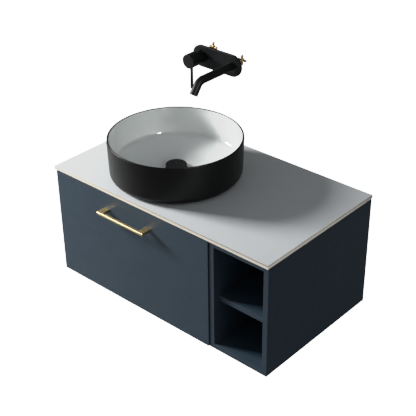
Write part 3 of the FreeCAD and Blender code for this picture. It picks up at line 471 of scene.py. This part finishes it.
def grid_piece(name, surface, material_rows, materials, body, sharp=40):
    """A closed piece from a grid of points that wraps both ways, one material index per row."""
    rows, columns = surface.shape[:2]
    row, column = np.meshgrid(np.arange(rows), np.arange(columns), indexing="ij")
    next_row, next_column = (row + 1) % rows, (column + 1) % columns
    faces = np.stack([row * columns + column, row * columns + next_column,
                      next_row * columns + next_column, next_row * columns + column], -1)
    mesh = bpy.data.meshes.new(name)
    mesh.from_pydata(surface.reshape(-1, 3).tolist(), [], faces.reshape(-1, 4).tolist())
    mesh.polygons.foreach_set("material_index", np.repeat(material_rows, columns).astype(np.int32))
    shape = bmesh.new()
    shape.from_mesh(mesh)
    bmesh.ops.remove_doubles(shape, verts=shape.verts, dist=1e-6)
    bmesh.ops.dissolve_degenerate(shape, edges=shape.edges, dist=1e-7)
    bmesh.ops.recalc_face_normals(shape, faces=shape.faces)
    shape.to_mesh(mesh)
    shape.free()
    mesh.shade_smooth()
    mesh.set_sharp_from_angle(angle=math.radians(sharp))
    for material in materials:
        mesh.materials.append(material)
    piece = bpy.data.objects.new(name, mesh)
    scene.collection.objects.link(piece)
    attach(piece, body)
    return piece


def lathe(profile, centre, turns=192):
    """Each profile point (radius r, height h) swept round: x = r cos a, y = r sin a, z = h."""
    angle = np.linspace(0, 2 * np.pi, turns, endpoint=False)
    ring = np.stack([np.cos(angle), np.sin(angle), np.zeros(turns)], -1)
    surface = profile[:, None, :1] * ring[None]
    surface[..., 2] = profile[:, None, 1]
    return surface + np.array(centre)


def glaze(name, dark, light, roughness, depth, gloss, coat):
    """Fired glaze: faint pooling of colour, a soft ripple and a clear coat."""
    tree, shader, material = finish(name, Specular_IOR_Level=gloss, Coat_Weight=coat,
                                    Coat_Roughness=0.05)
    place = add(tree, "ShaderNodeTexCoord").outputs["Object"]
    pooled = use(tree, mottle, Vector=place, Scale=22.0).outputs["Value"]
    tree.links.new(shade(tree, dark, light, pooled), shader.inputs["Base Color"])
    sheen = use(tree, mottle, Vector=place, Scale=70.0, Low=roughness - 0.03, High=roughness + 0.04)
    tree.links.new(sheen.outputs["Value"], shader.inputs["Roughness"])
    skin = use(tree, peel, Vector=place, Scale=120.0, Depth=depth)
    tree.links.new(skin.outputs["Normal"], shader.inputs["Normal"])
    return material


basin_low, basin_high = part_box("basin")
basin_middle = (basin_low + basin_high) / 2
basin_radius = (basin_high.x - basin_low.x) / 2
basin_height = basin_high.z - basin_low.z
rim_width = 0.0055
wall_lean = 0.0035
foot_round = 0.022
inner_lean = 0.003
inner_round = 0.015
floor_at_edge = 0.033
floor_at_waste = 0.0175
hole_radius = 0.023
recess_radius = 0.0325
recess_height = 0.013
ring_inner = basin_radius - wall_lean - foot_round - 0.018
hollow = 0.005
outside = rounded_profile([
    (hole_radius, 0, 0),
    (0.044, 0, 0.001),
    (0.049, hollow, 0.002),
    (ring_inner - hollow, hollow, 0.002),
    (ring_inner, 0, 0.001),
    (basin_radius - wall_lean, 0, foot_round),
    (basin_radius, basin_height, rim_width / 2 - 0.0001),
    (basin_radius - rim_width, basin_height, rim_width / 2 - 0.0001),
    (basin_radius - rim_width - inner_lean, floor_at_edge, inner_round),
    (recess_radius, floor_at_waste, 0.001),
    (recess_radius, recess_height, 0),
    (hole_radius, recess_height, 0),
], steps=14)
rim_start = np.argmax(outside[:, 1] > basin_height - 1e-6)
black_steps = 11  # of the fourteen round the rim's inner edge
white_start = rim_start + black_steps
is_white = (np.arange(len(outside)) >= white_start).astype(int)
satin_black = glaze("satin_black_glaze", (0.0022, 0.0024, 0.0026), (0.0034, 0.0036, 0.0038),
                    roughness=0.38, depth=0.00003, gloss=0.24, coat=0.0)
gloss_white = glaze("gloss_white_glaze", (0.88, 0.91, 0.90), (0.92, 0.94, 0.93),
                    roughness=0.10, depth=0.00001, gloss=0.5, coat=1.0)
vessel = grid_piece("vessel_basin", lathe(outside, (basin_middle.x, basin_middle.y, basin_low.z)),
                    is_white, [satin_black, gloss_white], "washstand")
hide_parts("basin")


# ---- Sealant, gaskets and bumpers -----------------------------------------------------
# Soft rings under the basin and round the waste, and clear dots behind the drawer's face.
def soft_rubber():
    """Rubber: a dull grey with a fine dusty bloom."""
    tree, shader, material = finish("soft_rubber", Roughness=0.75)
    place = add(tree, "ShaderNodeTexCoord").outputs["Object"]
    bloom = use(tree, mottle, Vector=place, Scale=250.0).outputs["Value"]
    tree.links.new(shade(tree, (0.42, 0.42, 0.41), (0.52, 0.52, 0.50), bloom), shader.inputs["Base Color"])
    return material


rubber = soft_rubber()
for soft in ("basin_sealant", "waste_gaskets", "front_bumpers"):
    smooth_copy(soft, rubber)


# ---- Black metal of the waste and the tap ---------------------------------------------
# The plug's cap, the waste, the tap's plate, collar, handle, lever and spout are brass
# under one matt black powder coat, which has a fine even grain.
def powder_coat():
    """Powder coat: near black, with a fine pebble in relief and in sheen."""
    tree, shader, material = finish("black_powder_coat", Specular_IOR_Level=0.2)
    place = add(tree, "ShaderNodeTexCoord").outputs["Object"]
    tone = use(tree, mottle, Vector=place, Scale=40.0).outputs["Value"]
    tree.links.new(shade(tree, (0.0028, 0.0034, 0.0040), (0.0046, 0.0052, 0.0060), tone),
                   shader.inputs["Base Color"])
    sheen = use(tree, mottle, Vector=place, Scale=300.0, Low=0.4, High=0.55)
    tree.links.new(sheen.outputs["Value"], shader.inputs["Roughness"])
    pebble = use(tree, peel, Vector=place, Scale=2200.0, Depth=0.00003)
    tree.links.new(pebble.outputs["Normal"], shader.inputs["Normal"])
    return material


black_coat = powder_coat()
for black in [entry["node"] for entry in frame["record"]["subparts"]
              if entry["material_slot"] == "black_coat"]:
    smooth_copy(black, black_coat)


# ---- Trap and plastic inserts ---------------------------------------------------------
# The bottle trap, its pipes, nuts and wall flange are white polypropylene; the cartridges
# and the flow straightener are a harder, slightly shinier plastic.
def moulded(name, dark, light, roughness):
    """Moulded plastic: even colour with a faint flow pattern and a fine grain."""
    tree, shader, material = finish(name)
    place = add(tree, "ShaderNodeTexCoord").outputs["Object"]
    flow = use(tree, mottle, Vector=place, Scale=30.0).outputs["Value"]
    tree.links.new(shade(tree, dark, light, flow), shader.inputs["Base Color"])
    sheen = use(tree, mottle, Vector=place, Scale=150.0, Low=roughness - 0.05, High=roughness + 0.05)
    tree.links.new(sheen.outputs["Value"], shader.inputs["Roughness"])
    grain = use(tree, peel, Vector=place, Scale=1200.0, Depth=0.00002)
    tree.links.new(grain.outputs["Normal"], shader.inputs["Normal"])
    return material


white_trap = moulded("white_polypropylene", (0.70, 0.70, 0.68), (0.78, 0.78, 0.76), 0.42)
acetal = moulded("acetal", (0.62, 0.62, 0.58), (0.70, 0.70, 0.66), 0.3)
for entry in frame["record"]["subparts"]:
    if entry["material_slot"] == "trap_plastic":
        smooth_copy(entry["node"], white_trap)
    if entry["material_slot"] == "white_plastic":
        smooth_copy(entry["node"], acetal)


# ---- Lock nut -------------------------------------------------------------------------
# The nut under the top is chromed brass, bright on its flats.
def chrome():
    """Chrome: a bright metal with faint handling marks in its sheen."""
    tree, shader, material = finish("chrome", Metallic=1.0, Base_Color=(0.72, 0.73, 0.74, 1))
    place = add(tree, "ShaderNodeTexCoord").outputs["Object"]
    marks = use(tree, mottle, Vector=place, Scale=120.0, Low=0.06, High=0.16)
    tree.links.new(marks.outputs["Value"], shader.inputs["Roughness"])
    return material


smooth_copy("waste_locknut", chrome())


# ---- Brass behind the wall ------------------------------------------------------------
# The tap's casting and the two cross-shaped hand nuts that clamp it are bare brass.
bare_brass = brass("bare_brass", (0.36, 0.23, 0.08), (0.68, 0.47, 0.20), (400, 400, 400), 0.34)
for cast in ("tap_body", "tap_clamp_nuts"):
    smooth_copy(cast, bare_brass)
